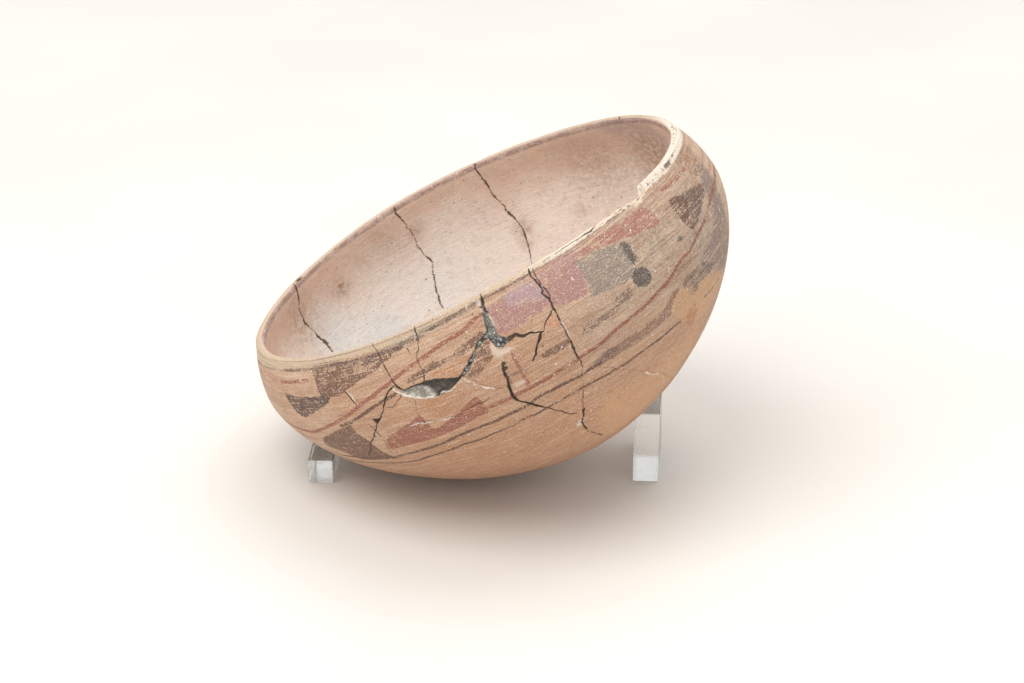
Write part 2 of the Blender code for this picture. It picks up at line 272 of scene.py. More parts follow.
class Tracer:
    """Reads pixels of the photograph as places on the outer or the inner skin."""

    def __init__(self, build, stored):
        build.verts.index_update()
        azimuth, run = chart_of(build, stored)
        self.places = [Vector(p) for p in to_world(form(azimuth, run))]
        self.azimuth = np.radians(azimuth)
        self.run = run
        faces = [tuple(vert.index for vert in face.verts) for face in build.faces]
        middle = np.array([run[list(face)].mean() for face in faces])
        self.faces = {"outer": [f for f, m in zip(faces, middle) if m > 0],
                      "inner": [f for f, m in zip(faces, middle) if m < 0]}
        self.trees = {skin: BVHTree.FromPolygons(self.places, found) for skin, found in self.faces.items()}
        level = math.cos(CAMERA_DOWN)
        self.right = Vector((math.cos(CAMERA_LEFT), math.sin(CAMERA_LEFT), 0))
        self.forward = Vector((-self.right.y * level, self.right.x * level, -math.sin(CAMERA_DOWN)))
        self.up = self.right.cross(self.forward)

    def cast(self, x, y, skin):
        """The first place under a pixel where the skin faces the camera, and the face there."""
        across = (x - IMAGE_WIDTH / 2) / FOCAL_PX
        rise = (IMAGE_HEIGHT / 2 - y) / FOCAL_PX
        ray = (self.forward + self.right * across + self.up * rise).normalized()
        start = CAMERA_PLACE
        while True:
            hit, normal, index, _ = self.trees[skin].ray_cast(start, ray)
            if hit is None or normal.dot(ray) < 0:
                return hit, index
            start = hit + ray * 0.0001

    def read(self, pixel, skin):
        """Azimuth and run under a pixel; one just off the skin is read a little towards its middle."""
        middle = MIDDLE_PX[skin]
        away = math.dist(pixel, middle)
        for above in range(SEARCH_PX):
            share = above / away
            x = pixel[0] + (middle[0] - pixel[0]) * share
            y = pixel[1] + (middle[1] - pixel[1]) * share
            hit, index = self.cast(x, y, skin)
            if hit is not None:
                break
        face = self.faces[skin][index]
        weights = poly_3d_calc([self.places[i] for i in face], hit)
        east = sum(w * math.cos(self.azimuth[i]) for w, i in zip(weights, face))
        north = sum(w * math.sin(self.azimuth[i]) for w, i in zip(weights, face))
        run = sum(w * self.run[i] for w, i in zip(weights, face))
        overshoot = above * MM_PER_PIXEL
        return math.degrees(math.atan2(north, east)), run + (overshoot if skin == "inner" else -overshoot)

    def read_all(self, pixels, skin="outer"):
        return np.array([self.read(pixel, skin) for pixel in pixels])


class Chart:
    """Distances in millimetres from the vertices of the mesh to lines and outlines on the skin."""

    def __init__(self, azimuth, run):
        self.azimuth = azimuth
        self.run = run
        self.radius = profile_at(run)[0] * 1000

    def flat(self, points, near):
        """Vertices near a line, and its points and theirs with azimuth in radians about its middle."""
        centre = points[0, 0] + wrap(points[:, 0] - points[0, 0]).mean()
        line_x = np.radians(wrap(points[:, 0] - centre))
        mine_x = np.radians(wrap(self.azimuth - centre))
        reach = near / max(self.radius.max() * 0.6, 1)
        close = (mine_x > line_x.min() - reach) & (mine_x < line_x.max() + reach)
        close &= (self.run > points[:, 1].min() - near) & (self.run < points[:, 1].max() + near)
        return np.nonzero(close)[0], line_x, mine_x

    def to_segments(self, which, line_x, line_y, mine_x):
        radius = self.radius[which][:, None]
        x, y = mine_x[which][:, None] * radius, self.run[which][:, None]
        from_x, from_y = line_x[None, :-1] * radius, line_y[None, :-1]
        to_x, to_y = line_x[None, 1:] * radius, line_y[None, 1:]
        step_x, step_y = to_x - from_x, to_y - from_y
        length = np.hypot(step_x, step_y).clip(1e-6)
        share = (((x - from_x) * step_x + (y - from_y) * step_y) / length ** 2).clip(0, 1)
        away = np.hypot(x - from_x - share * step_x, y - from_y - share * step_y)
        best = away.argmin(axis=1)
        rows = np.arange(len(which))
        walked = np.concatenate([[0], np.cumsum(length.mean(axis=0))])
        along = (walked[best] + share[rows, best] * np.diff(walked)[best]) / walked[-1]
        return away[rows, best], along

    def line(self, points, near=9.0):
        """Distance from a line and the share of its length; far vertices keep the distance near."""
        away, along = np.full(len(self.run), near), np.zeros(len(self.run))
        which, line_x, mine_x = self.flat(points, near)
        if len(which):
            found = self.to_segments(which, line_x, points[:, 1], mine_x)
            away[which], along[which] = np.minimum(found[0], near), found[1]
        return away, along

    def outline(self, points, near=12.0):
        """Depth inside a closed outline, negative outside it."""
        closed = np.vstack([points, points[:1]])
        depth = np.full(len(self.run), -near)
        which, line_x, mine_x = self.flat(closed, near)
        if len(which) == 0:
            return depth
        away, _ = self.to_segments(which, line_x, closed[:, 1], mine_x)
        x, y = mine_x[which], self.run[which]
        inside = np.zeros(len(which), bool)
        for i in range(len(line_x) - 1):
            crosses = (closed[i, 1] > y) != (closed[i + 1, 1] > y)
            rise = closed[i + 1, 1] - closed[i, 1]
            share = (y - closed[i, 1]) / (rise if abs(rise) > 1e-9 else 1e-9)
            at = line_x[i] + share * (line_x[i + 1] - line_x[i])
            inside ^= crosses & (x < at)
        depth[which] = np.where(inside, away, -away).clip(-near, near)
        return depth

    def band(self, points):
        """Signed distance from a line that goes round the bowl, and 1 where it is drawn, 0 in a wide gap."""
        order = np.argsort(points[:, 0] % 360)
        x, y = (points[:, 0] % 360)[order], points[order, 1]
        level = np.interp(self.azimuth, x, y, period=360)
        ahead = np.interp(self.azimuth + 1, x, y, period=360)
        behind = np.interp(self.azimuth - 1, x, y, period=360)
        slope = (ahead - behind) / (np.radians(2) * self.radius.clip(20))
        drawn = np.ones(len(self.run))
        mine = self.azimuth % 360
        for start, stop in zip(x, np.append(x[1:], x[0] + 360)):
            if stop - start > BAND_GAP:
                within = np.where(mine < start, mine + 360, mine)
                into = np.minimum(within - start, stop - within) * np.radians(1) * self.radius
                drawn = np.where(within <= stop, 1 - smooth(-0.5, 1.5, into), drawn)
        return (self.run - level) / np.sqrt(1 + slope ** 2), drawn


# Cracks and losses, read from the photograph in pixels: route, width at each end and depth in millimetres
CRACKS_PX = {
    "far_left": (((320, 351), (322, 356), (324, 362), (328, 368), (331, 372), (336, 379), (340, 384)), 0.25,
        0.3, 0.5),
    "far_left_low": (((345, 391), (348, 395), (352, 400), (357, 405)), 0.75, 0.45, 1.0),
    "left": (((372, 343), (376, 352), (381, 358), (384, 364)), 0.25, 0.4, 0.6),
    "left_open": (((384, 364), (387, 371), (390, 377), (394, 382), (397, 386), (403, 390)), 0.5, 1.0, 1.1),
    "left_branch": (((394, 386), (389, 391), (385, 399), (384, 404), (383, 410), (381, 416), (378, 424),
        (375, 433), (371, 443), (370, 450), (369, 456)), 0.6, 0.2, 0.8),
    "loop": (((397, 393), (402, 395), (400, 400), (396, 404), (393, 407), (387, 407)), 0.3, 0.3, 0.5),
    "middle": (((413, 321), (414.5, 327), (416, 333), (418, 341), (419, 348), (417, 354), (417, 360),
        (420, 366), (422, 370), (424, 375), (424, 381), (422, 387)), 0.5, 0.3, 0.7),
    "nick": (((407, 349), (408.5, 351), (410, 354)), 0.8, 0.5, 0.5),
    "main_top": (((479.5, 291.5), (480, 295), (481.5, 300), (483, 306), (484.5, 311), (485.5, 317)), 0.25,
        1.2, 1.0),
    "right_of_crescent": (((464, 376), (470, 378), (478, 382), (485, 385), (492, 388), (503, 389)), 0.25,
        0.2, 0.4),
    "lower": (((500, 358), (502, 364), (504, 370), (506.5, 376), (508.5, 382), (509.5, 386)), 0.5, 0.8, 1.0),
    "lower_twin": (((501, 362), (503.5, 368), (505, 374)), 0.25, 0.25, 0.5),
    "lower_wide": (((509.5, 386), (511, 391), (513.5, 396), (517, 400)), 1.1, 1.7, 1.5),
    "lower_right": (((517, 400), (522, 402), (530, 402.5), (537, 405.5), (545, 407.5), (550, 408.3),
        (557, 411), (563, 411.5), (570, 413.5), (577, 413.5)), 1.1, 0.55, 1.2),
    "upper_branch": (((509, 338.5), (512, 336), (516, 334), (520, 335), (525, 335.5), (530, 333), (537, 332),
        (543, 331)), 1.3, 0.7, 0.8),
    "low_seam": (((412.6, 424), (425, 421), (441, 419.4), (455.7, 415.5), (462, 413), (470, 407.5),
        (478, 404), (485, 401), (489, 398)), 0.25, 0.4, 0.5),
    "low_link": (((413, 398), (416, 403), (417, 409), (418, 415)), 0.25, 0.2, 0.4),
    "second": (((528, 268), (529, 271), (533, 277), (537, 282), (541, 287), (543.5, 293), (546, 297),
        (548.4, 299)), 0.5, 0.5, 0.9),
    "second_twin": (((532.5, 269), (536, 275.5), (541, 283.5), (545, 289), (548.5, 295), (548.4, 299)), 0.35,
        0.35, 0.7),
    "second_low": (((548.4, 299), (551, 303.5), (555, 311), (560, 319), (562, 325), (567, 333), (571, 341.5),
        (576.5, 353), (580.7, 361), (583, 368)), 0.7, 0.45, 0.8),
    "second_thin": (((583, 370), (583, 378), (584, 389), (583, 400), (584, 409)), 0.25, 0.25, 0.4),
    "second_end": (((584, 409), (584, 416), (582, 422), (586, 430)), 0.9, 0.35, 1.0),
    "second_side": (((583, 418), (578, 424), (576, 426)), 0.25, 0.2, 0.4),
    "second_branch": (((553, 310), (550, 315), (547.5, 319), (545.6, 324), (544, 330)), 0.3, 0.4, 0.7),
    "second_branch_low": (((541, 332), (540, 338), (538, 346), (536, 354), (533, 361), (530, 366)), 0.7, 0.4,
        1.0),
    "right_seam": (((583, 368.5), (590, 366.5), (600, 367), (612, 366.5), (616, 369), (625, 370),
        (635, 370.5), (645, 371), (655, 373), (663, 374), (668, 377), (672, 380.5)), 0.25, 0.2, 0.3),
}
INNER_CRACKS_PX = {
    "end_joint": (((291, 284), (296, 287), (298, 291), (299, 300), (300, 311), (303, 316), (305, 322),
        (309, 326), (313, 330), (318, 336), (323, 340), (327, 345), (332, 351)), 0.75, 1.0, 0.5),
    "back_left": (((394, 208), (396, 213), (400, 217), (404, 222), (407, 227), (411, 232), (415, 239),
        (418, 246), (421, 250), (425, 255), (429, 257.5), (432, 261), (434, 266), (433, 272), (434, 280),
        (436, 290), (439, 297), (441, 304), (444, 308)), 0.95, 0.75, 0.45),
    "back": (((474.4, 163.8), (477.6, 171.7), (484, 181), (492, 192.5), (500, 202), (511, 215), (520.6, 226),
        (524.8, 234), (528.6, 247), (530.8, 256), (531.8, 266)), 0.95, 0.7, 0.45),
}
# More cracks, in azimuths and runs: two along the lip, and plainer ones on the sides that aren't seen
HIDDEN_CRACKS = {
    "lip_top": (((3, -4), (1.5, -1.5), (2.5, 0.5), (-1, 4)), 0.35, 0.5, 0.5),
    "lip_split": (((-63, 1.6), (-58, 1.2), (-54, 2.0), (-51, 1.0), (-47, 2.2), (-43, 1.2), (-38.5, 2.0)),
        0.2, 0.7, 0.8),
    "behind_right": (((40, -2), (41, 8), (37, 19), (38, 33), (33, 47), (35, 62), (30, 80)), 0.8, 0.6, 0.7),
    "behind_left": (((150, -2), (149, 10), (152, 24), (148, 41), (150, 55), (143, 70)), 0.8, 0.6, 0.7),
    "behind_link": (((91, 0), (89, 14), (92, 30), (88, 46), (95, 60), (93, 84), (100, 108)), 0.9, 0.6, 0.9),
    "underside": (((-75, 105), (-70, 124), (-86, 141), (-80, 158), (-120, 172)), 0.6, 0.5, 0.5),
}
# Missing flakes: outline and depth in millimetres
LOSSES_PX = {
    "crescent": (((396, 387), (403, 390), (411, 386), (420, 383), (426, 381), (434, 379), (443, 378),
        (454, 378), (463, 376), (457, 384), (449, 391), (441, 395), (436, 397), (425, 397.5), (415, 396.5),
        (408, 395), (402, 392)), 1.7),
    "corner_chip": (((372, 419), (380, 418), (380, 421), (378, 425), (375, 423)), 1.3),
    "lip_flake": (((664, 163), (671, 160), (672, 165), (667, 170), (663, 167)), 0.3),
}
# Gaps that are wide enough for their old filling to show: outline and depth in millimetres
GAPS_PX = {
    "main": (((483.5, 310), (484, 317), (484.6, 324), (485.5, 331), (486, 336), (490, 340), (494, 344),
        (499, 349), (503.5, 347), (506, 342.5), (511, 340), (510.5, 337.5), (505, 338.5), (499, 337),
        (495, 333), (492.3, 327), (490, 320), (487.5, 312)), 1.0),
    "to_crescent": (((486, 332.5), (481, 337.5), (476.5, 343), (473.7, 350), (471, 357), (467, 364),
        (463, 370), (458, 376.5), (464, 377), (468.8, 371), (472.3, 365.5), (474.8, 357), (477.6, 350),
        (481.5, 343.5), (487.5, 338)), 0.9),
}
# The dusty floor of the crescent, and smooth modern filler beside the joints
DUSTY_PX = (
    (398, 389), (403, 391), (412, 387), (420, 385), (428, 388), (434, 391), (437, 394.5), (436, 397),
    (425, 398), (415, 397.5), (406, 394.5),
)
PLASTER_PX = {
    "under_main": ((490, 342), (490, 347), (492, 353), (495, 357), (500, 359), (504, 354), (510, 352),
        (513, 348.5), (509, 346.5), (504, 349), (498, 350), (493, 345)),
    "beside_main": ((486.5, 313), (490, 315), (494, 321), (495.5, 328), (492.5, 325), (489, 318)),
    "left_of_main": ((476.5, 299), (480, 300), (482, 308), (482, 314), (478.5, 308)),
    "cream_chip": ((513, 386), (517, 382), (526, 379.5), (525, 383), (518, 386.5)),
    "end_chip": ((576, 425), (579, 420), (582, 418.5), (581, 425), (578, 427)),
}
# Pale lines of filler beside a joint: route and half its width in millimetres
PALE_LINES_PX = {
    "crescent_lip": (((393, 388.5), (398, 392), (404, 395.2), (412, 397), (425, 398), (437, 396.8)), 0.35),
    "crescent_tail": (((441, 395), (449, 391.5), (457, 384.5), (463, 377.5)), 0.15),
    "right_of_crescent": (((463, 378), (470, 381), (478, 384.5), (485, 387), (494, 389)), 0.16),
    "low_seam": (((410, 425), (418, 423), (427, 422.3), (433, 421.5)), 0.22),
    "low_seam_right": (((437, 420.5), (447, 418.5), (455, 416.3)), 0.1),
    "far_left_low": (((346, 390), (350, 395), (354, 400), (358, 405)), 0.12),
    "right_seam": (((646, 372.5), (652, 374), (660, 374)), 0.14),
    "second_low": (((561, 321), (565, 327), (568, 333), (571, 339)), 0.22),
}


def read_cracks(tracer):
    """Every crack as azimuths and runs, with its two widths and its depth."""
    found = {}
    for skin, cracks in (("outer", CRACKS_PX), ("inner", INNER_CRACKS_PX)):
        for name, (route, *sizes) in cracks.items():
            found[name] = (tracer.read_all(route, skin), *sizes)
    for name, (route, *sizes) in HIDDEN_CRACKS.items():
        found[name] = (np.array(route, float), *sizes)
    return found


def split_near(build, stored, lines, band):
    """Split every face that lies within a band of the given lines into four."""
    azimuth, run = chart_of(build, stored)
    build.verts.index_update()
    chart = Chart(azimuth, run)
    near = np.zeros(len(run), bool)
    for points in lines:
        near |= chart.line(points, band + 1.0)[0] < band
    faces = [face for face in build.faces if any(near[vert.index] for vert in face.verts)]
    edges = {edge for face in faces for edge in face.edges}
    bmesh.ops.subdivide_edges(build, edges=list(edges), cuts=1, use_grid_fill=True)


def drop_lip(azimuth, run, places):
    """How far the broken stretch of the lip is lowered, in millimetres, and 1 where its clay is bare."""
    share = (azimuth - LIP_BREAK_RIGHT) / (LIP_BREAK_LEFT - LIP_BREAK_RIGHT)
    ledge = 1000 * LIP_BREAK_DEPTH * (1 - share.clip(0, 1)) ** 1.3
    ledge = ledge * smooth(-0.02, 0.02, share) * smooth(1.0, 0.9, share)
    rough = layered(places, (1.1, 0.0042, 11), (0.5, 0.0016, 12))
    ledge = ledge + ledge.clip(0, 1) * rough
    depth = profile_at(run)[1] * 1000
    down = (ledge - depth).clip(0)
    return down, smooth(0.05, 0.5, down)


def make_fields(chart, cracks, tracer, places):
    """How deep each vertex is sunk below the skin, and where it is pale, dusty, plastered or filled."""
    count = len(chart.run)
    ragged = layered(places, (0.22, 0.0018, 1), (0.14, 0.0007, 2))
    swell = (1 + 0.7 * noise(places, 0.0045, 3)).clip(0.5)
    sideways = layered(places, (0.5, 0.0042, 6), (0.3, 0.0015, 7))
    upwards = layered(places, (0.5, 0.0042, 8), (0.3, 0.0015, 9))
    wobbly = Chart(chart.azimuth + np.degrees(sideways / chart.radius.clip(20)), chart.run + upwards)
    sunk, pale, plaster, filled = np.zeros((4, count))
    for points, start, end, deep in cracks.values():
        away, along = wobbly.line(points)
        half = (start + (end - start) * along) / 2 * swell
        open_ = smooth(-0.16, 0.14, half - away + ragged * half.clip(0, 0.8))
        sunk = np.maximum(sunk, deep * open_)
    dust = smooth(-0.4, 0.6, chart.outline(tracer.read_all(DUSTY_PX)) + ragged)
    for outline, deep in LOSSES_PX.values():
        inside = chart.outline(tracer.read_all(outline)) + ragged
        floor = deep * (1 + 0.3 * noise(places, 0.003, 5)) * (1 - 0.65 * dust)
        sunk = np.maximum(sunk, floor * smooth(-0.2, 0.8, inside))
    for outline, deep in GAPS_PX.values():
        inside = wobbly.outline(tracer.read_all(outline)) + 1.5 * ragged
        floor = deep * (1 + 0.5 * noise(places, 0.0016, 5))
        sunk = np.maximum(sunk, floor * smooth(-0.25, 0.25, inside))
        filled = np.maximum(filled, smooth(0.0, 0.5, inside))
    for outline in PLASTER_PX.values():
        plaster = np.maximum(plaster, smooth(-0.4, 0.4, chart.outline(tracer.read_all(outline)) + ragged))
    for route, half in PALE_LINES_PX.values():
        away = wobbly.line(tracer.read_all(route))[0]
        pale = np.maximum(pale, smooth(-0.25, 0.15, half * swell - away + ragged))
    return sunk, pale, dust, plaster, filled


# Paint, read from the photograph in pixels: lines that go round, with half their width in millimetres
BANDS_PX = {
    "red_upper": (((313, 432), (325, 428), (340, 420), (350, 414), (360, 405), (370, 398), (380, 390),
        (390, 383), (400, 374), (410, 367), (420, 360), (440, 345), (460, 333), (475, 319), (482, 314)),
        0.95),
    "red_lower": (((485, 409), (495, 404.5), (505, 400.3), (513, 396.5), (518, 393.5), (530, 388),
        (537, 383.7), (545, 380), (558, 371.3), (576, 361), (582, 356.5), (590, 351), (598, 346), (606, 340),
        (611, 334.5), (618, 328), (625, 323), (631, 317), (637, 312.5), (643, 308), (650, 301), (657, 293),
        (663, 287), (669, 281), (674, 272), (677, 266), (683, 258), (690, 250), (697, 236), (703, 225),
        (708, 210), (710, 199)), 0.95),
    "rim_line": (((258, 361), (262, 364), (270, 367.5), (280, 369.5), (290, 370.5), (300, 370), (310, 369),
        (318, 367), (345, 362), (380, 353), (405, 343), (420, 337), (430, 330), (440, 323), (450, 318),
        (460, 310), (470, 304), (478, 300), (483, 298), (500, 290), (510, 284), (525, 276), (535, 266),
        (545, 260), (560, 250), (575, 241), (590, 232), (600, 226), (610, 219), (620, 211), (636, 198)),
        0.75),
    "dark_upper": (((340, 426), (352, 422), (365, 413), (375, 406), (385, 400), (397, 393)), 0.8),
    "dark_mid": (((385, 457), (395, 457), (405, 454), (415, 452), (425, 449), (435, 446), (445, 442.5),
        (452, 439), (460, 435), (468, 431.5), (475, 429), (482, 426), (490, 423), (497, 420), (503, 417),
        (510, 413.5), (516, 411), (522, 408.5), (530, 403.5), (538.6, 396.5), (549, 391.5), (558, 386.5),
        (570, 381), (582, 375.3), (590, 369), (598, 365), (606, 360)), 0.9),
    "dark_low": (((380, 463), (395, 463), (410, 461.5), (420, 459.5), (430, 456), (440, 453), (450, 450),
        (458, 447), (464, 444), (473, 441.5), (478, 440), (485, 437.5), (492, 434), (500, 431), (505, 428.5),
        (512, 426), (520, 421), (527, 417.5), (535, 414.5), (549, 406.5), (560, 400), (570, 394.5),
        (577, 391), (583, 387), (600, 378.5), (607, 375), (614, 370), (622, 366), (630, 361), (640, 353),
        (650, 346), (660, 339), (669, 331), (676, 325), (682, 321)), 0.7),
}
# Painted and discoloured areas, and a painted reflected light low on the right, as closed outlines
PATCHES_PX = {
    "brown_left": ((300, 371), (318, 368), (345, 362), (380, 353), (405, 343), (425, 335), (418, 341),
        (405, 346), (400, 350), (390, 357), (383, 363), (378, 369), (370, 374), (360, 380), (347, 390),
        (340, 396), (330, 397), (323, 400), (320, 395), (316, 385), (312, 372)),
    "brown_low_left": ((284, 393), (298, 397), (315, 397), (325, 395), (331, 397), (328, 403.5), (318, 410),
        (312, 414), (305, 418), (298, 413), (291, 404)),
    "brown_base": ((323, 437), (340, 429), (350, 424), (360, 435), (370, 441), (380, 450), (390, 455),
        (398, 458), (380, 460), (370, 460), (360, 459), (345, 452), (325, 445)),
    "orange_clear": ((676, 293), (680, 288), (687, 287), (690, 296), (697, 290), (703, 279), (712, 275),
        (719, 271), (721, 280), (714, 296), (706, 312), (696, 322), (686, 320), (677, 317), (672, 312),
        (671, 303)),
    # painted reflected light: a soft bright orange-tan pool low on the right of the body
    "painted_reflected_light_low": ((596, 440), (600, 412), (614, 392), (640, 380), (664, 362), (684, 340), (702, 318),
        (694, 342), (672, 376), (646, 406), (618, 430)),
    "orange_mid": ((430, 374), (441, 368), (452, 362), (462, 358), (470, 352), (472, 358), (468, 366),
        (462, 374), (448, 376), (436, 377)),
    "smoky_middle": ((405, 383), (412, 376), (424, 367), (436, 360), (446, 355), (456, 350), (466, 342),
        (476, 334), (483, 331), (485, 334), (478, 342), (470, 350), (462, 356), (450, 360), (441, 366),
        (430, 371), (424, 377), (416, 381)),
    "smoky_right": ((479, 345), (484, 340), (489, 342), (490, 350), (494, 357), (490, 362), (484, 368),
        (478, 376), (471, 380), (467, 375), (473, 366), (476, 356)),
    "grey_strip": ((378, 350), (398, 339), (427, 326), (449, 315.5), (466, 308), (478, 300), (479, 304),
        (466, 313), (449, 323), (427, 334), (399, 349), (384, 359)),
    "red_step": ((386, 439), (393, 434), (400, 429), (409, 423), (415, 418), (419, 414), (423, 418),
        (427, 422), (430, 425), (432, 429), (438, 428.5), (445, 423), (452, 417), (458, 413), (465, 406),
        (470, 400.5), (476, 396), (480, 399), (484, 404), (488, 408.5), (490, 411), (480, 416), (470, 421.5),
        (460, 427), (452, 431), (440, 436), (425, 441), (410, 445), (397, 448), (391, 449)),
    "red_main": ((486, 309), (493, 304), (510, 290), (531, 276), (547, 267), (560, 257), (580, 246),
        (577, 262), (583, 275), (588, 290), (586, 296), (572, 301.6), (557, 307), (550, 304.5), (545, 308),
        (538.6, 313.5), (532, 317.5), (525, 322), (519, 326), (513, 329), (507, 332), (501, 333), (496, 333),
        (492, 327), (489, 318)),
    "lavender": ((503, 296), (512, 288), (524, 281), (535, 284), (544, 292), (546, 298), (535, 302),
        (520, 305), (508, 307)),
    "orange_chip": ((554, 312), (560.5, 320), (560.5, 325), (552, 328.5), (546, 330.5), (546, 323),
        (550, 316)),
    "purple_strip": ((500, 361), (505, 361), (508, 370), (510.5, 378), (514, 385), (509, 387), (505, 378),
        (501, 370)),
    "grey_cross": ((510, 374), (518, 370.5), (528, 367.5), (527, 371), (519, 375), (511, 378)),
    "red_wedge": ((575, 252), (580, 248), (600, 235), (620, 222), (640, 207), (650, 209), (661, 224),
        (655, 228), (640, 233), (620, 240), (600, 247), (580, 258)),
    "grey_main": ((575, 262), (590, 252), (610, 246), (625, 243), (640, 262), (636, 276), (620, 285),
        (605, 292), (592, 297), (586, 280)),
    "stain_streak": ((620, 243), (626, 241), (633, 250), (640, 262), (634, 267), (627, 256)),
    "stain_round": ((633, 270), (641, 266), (650, 270), (653, 278), (648, 286), (638, 288), (632, 281)),
    "wide_brown": ((603, 353), (613, 347), (620, 343), (630, 336), (637, 332), (643, 328), (650, 322),
        (657, 318), (663, 312), (667, 303), (670, 297), (675, 290), (679, 285), (681, 288), (677, 295),
        (673, 300), (672, 310), (671, 316), (665, 321), (657, 328), (648, 334), (641, 341), (633, 346),
        (622, 352), (615, 357), (607, 361)),
    "wide_dark": ((593, 363), (604, 353), (612, 348), (621, 345), (617, 354), (607, 361), (597, 367)),
    "fur": ((681, 287), (683, 280), (690, 273), (698, 266), (706, 261), (714, 262), (711, 272), (705, 278),
        (699, 282), (697, 291), (692, 297), (689, 288), (685, 287)),
    "dark_edge": ((700, 264), (706, 250), (712, 240), (714, 226), (712, 211), (707, 197), (703, 186),
        (700, 176), (697, 166), (703, 164), (711, 176), (718, 191), (723, 206), (727, 223), (729, 240),
        (729, 258), (724, 268), (717, 270), (709, 266)),
    "mottle_top": ((675, 150), (681, 141), (689, 147), (697, 158), (702, 168), (699, 178), (690, 174),
        (682, 167), (674, 163)),
    "orange_streak": ((688, 326), (686, 317), (691, 308), (696, 303), (698, 311), (694, 323)),
    "dark_right_end": ((668, 200), (676, 196), (686, 191), (695, 186), (702.6, 182), (704.4, 188),
        (702.6, 204), (699, 218), (694.5, 231), (686, 225.5), (677.3, 214.7), (671, 207)),
    "dark_right_side": ((690, 197), (697, 189), (703, 184), (703, 202), (699, 218), (694, 230), (689, 222),
        (690, 208)),
    "dark_dot": ((675, 239), (678, 235.5), (684, 236), (682, 240), (677, 242)),
    "dark_lower_right": ((582, 337), (582, 330), (590, 321), (600, 318), (608, 311), (615, 304), (616, 297),
        (622, 292), (632, 284), (634, 296), (628, 300), (622, 306), (616, 313), (606, 320), (598, 326),
        (590, 332)),
    "brown_smudge": ((541, 354), (550, 348), (560, 343), (570, 338), (572, 342), (563, 349), (552, 355.5),
        (543, 359)),
}
# Short painted lines, with half their width in millimetres
STROKES_PX = {
    "red_short": (((281, 381), (290, 382.5), (300, 381.5), (308, 380.5)), 0.8),
    "red_right": (((661, 190), (668, 186), (674, 180), (681, 173), (684.5, 168)), 0.9),
    "red_upright": (((511, 351), (514, 357), (516, 361), (520, 369.7), (524.5, 377), (528.5, 385)), 0.85),
    "edge_line": (((704, 298), (712, 289), (719, 278)), 0.6),
    "faint_rim": (((457, 324), (466, 319.5), (474, 315.5)), 0.4),
    "brown_slant": (((369, 424), (376, 431), (384, 439), (391, 452)), 0.6),
}


# The same pattern on the side that the photograph doesn't show, in azimuths and runs
HIDDEN_BANDS = {
    "red_upper": ((24, 13), (60, 15), (100, 18), (140, 26), (180, 35), (205, 40)),
    "red_lower": ((0, 26), (30, 29), (70, 33), (110, 39), (150, 46), (190, 50)),
    "rim_line": ((25, 4), (60, 5), (95, 6), (130, 7), (165, 8)),
    "dark_mid": ((24, 39), (40, 40), (80, 44), (120, 50), (160, 56), (190, 60)),
    "dark_low": ((24, 45), (40, 46), (80, 50), (120, 56), (160, 62), (190, 66)),
}
HIDDEN_PATCHES = {
    "brown_back_right": ((12, 5), (44, 5.5), (40, 12), (33, 22), (22, 25), (15, 14)),
    "red_back": ((58, 6.5), (88, 7.5), (86, 17), (74, 27), (61, 25)),
    "brown_back": ((104, 8), (140, 9), (133, 22), (118, 33), (108, 20)),
    "red_back_low": ((150, 30), (182, 38), (176, 46), (160, 42)),
    "brown_low_back": ((30, 32), (62, 34), (56, 42), (40, 39)),
}

# Lower edge of the worn cream lip, in azimuths and runs
LIP_EDGE = (
    (-174, 8.6), (-147, 5.6), (-130, 4.6), (-103, 5.2), (-92, 3.8), (-82, 3.0), (-65, 3.4), (-52, 3.6),
    (-44, 4.6), (-37, 4.6), (-30, 5.0), (-20, 5.4), (-12, 5.4), (-2, 5.4), (10, 5.1), (25, 4.5), (95, 5),
    (165, 7.6),
)

# Soft areas of another tone: middle in pixels, radius in millimetres, strength
GREY_SPOTS = (
    (610, 268, 22, 0.45), (652, 240, 26, 0.85), (600, 318, 20, 0.35), (700, 225, 28, 0.95),
    (668, 285, 18, 0.4), (715, 270, 20, 0.6), (560, 232, 8, 0.2), (716, 200, 22, 0.55), (690, 250, 18, 0.6),
    (680, 262, 16, 0.6), (630, 295, 14, 0.4),
)
WARM_SPOTS = (
    (688, 158, 9, 0.6), (688, 335, 18, 0.15), (520, 318, 14, 0.35), (560, 440, 36, 0.65),
    (640, 400, 30, 0.1), (470, 445, 38, 0.8), (440, 404, 20, 1.0), (500, 380, 22, 0.5), (350, 415, 16, 0.5),
    (540, 365, 24, 0.45), (570, 395, 14, 0.7), (400, 415, 14, 0.7), (300, 420, 14, 0.4),
)
INNER_STAINS = (
    (341, 288, 4.5, 0.9), (415, 231, 4, 0.6), (583, 210, 5, 0.5), (524, 229, 5, 0.7), (527, 243, 4, 0.6),
    (600, 165, 22, 0.42), (655, 150, 24, 0.75), (300, 325, 15, 0.5), (378, 238, 9, 0.25), (360, 262, 6, 0.3),
)
INNER_PALE = (
    (385, 335, 24, 1.0), (340, 338, 20, 0.95), (440, 290, 34, 0.55), (400, 290, 30, 0.5),
    (470, 250, 28, 0.3),
)
INNER_SMEARS = (
    (606, 128, 6, 0.8), (620, 126, 6, 0.8), (636, 127, 7, 0.9), (652, 131, 6, 0.8), (662, 140, 5, 0.6),
)


def read_bands(tracer):
    """Each line that goes round: as read, then on round the hidden side."""
    found = {}
    for name, (route, _) in BANDS_PX.items():
        found[name] = tracer.read_all(route)
        if name in HIDDEN_BANDS:
            found[name] = np.vstack([found[name], HIDDEN_BANDS[name]])
    return found


